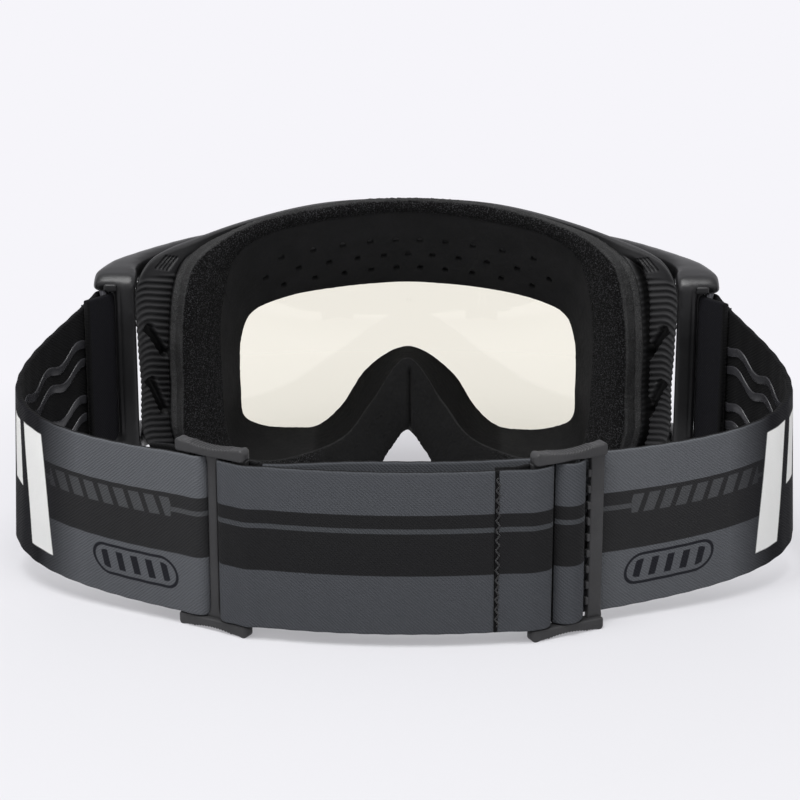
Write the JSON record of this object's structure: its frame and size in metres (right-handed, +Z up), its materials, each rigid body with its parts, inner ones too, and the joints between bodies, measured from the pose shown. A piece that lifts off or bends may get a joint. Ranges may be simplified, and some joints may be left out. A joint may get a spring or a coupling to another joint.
{
  "type": "motocross goggles",
  "caption": "Off-road motorcycling goggles with a wraparound frame, layered face foam, a clear lens, outriggers and an adjustable elastic strap.",
  "frame": {"origin": "on the floor under the middle of the whole object, goggles and strap", "axes": "+X to the wearer's right across the face, +Y forward out through the lens, +Z up"},
  "size_m": [0.2442, 0.1797, 0.1008],
  "materials": {
    "chassis": "moulded black frame, satin",
    "faceplate": "flexible black moulding with fine ribs at the sides",
    "base_foam": "grey open-cell foam",
    "mid_foam": "dark grey open-cell foam",
    "fleece": "black speckled fleece",
    "liner": "smooth black foam skin",
    "vent_foam": "smooth black foam with rows of small holes",
    "lens": "clear with a faint yellow cast",
    "gasket": "dark grey seal",
    "posts": "dark moulded studs",
    "nose_guard": "grey moulded guard",
    "outrigger": "moulded black, satin, sharp highlights on the edges",
    "pin": "dark steel pin",
    "webbing": "grey elastic webbing with black bands and a fine diagonal twill",
    "slider": "dark grey moulded adjuster",
    "print": "glossy dark silicone beads",
    "thread": "black sewing thread"
  },
  "bodies": {
    "goggle": {"chassis": "chassis", "faceplate": "faceplate", "foam_base": "base_foam", "foam_mid": "mid_foam", "fleece_face": "fleece", "inner_liner": "liner", "vent_foam_top": "vent_foam", "lens_gasket": "gasket", "outrigger_left": "outrigger", "outrigger_right": "outrigger", "strap_pin_left": "pin", "strap_pin_right": "pin", "strap_left": "webbing", "strap_right": "webbing", "strap_outer": "webbing", "slider_left": "slider", "grip_print_left": "print", "grip_print_right": "print", "pin_seam_left": "thread", "pin_seam_right": "thread", "slider_seam": "thread"},
    "adjuster": {"slider_right": "slider", "strap_end_loop": "webbing", "strap_wave": "webbing", "adjuster_seam": "thread"},
    "lens": {"lens": "lens", "tear_off_posts": "posts"},
    "nose_guard": {"nose_guard": "nose_guard"}
  },
  "joints": [
    {"name": "adjuster_slide", "type": "hinge", "parent": "goggle", "child": "adjuster", "pos_m": [0, 0.09105, 0], "axis": [0, 0, 1], "range_deg": [-13, 0], "deforming": ["strap_outer"]},
    {"name": "lens_release", "type": "slide", "parent": "goggle", "child": "lens", "axis": [0, 1, 0], "range_m": [0, 0.025]},
    {"name": "nose_guard_release", "type": "slide", "parent": "goggle", "child": "nose_guard", "axis": [0, 1, 0], "range_m": [0, 0.012]}
  ]
}
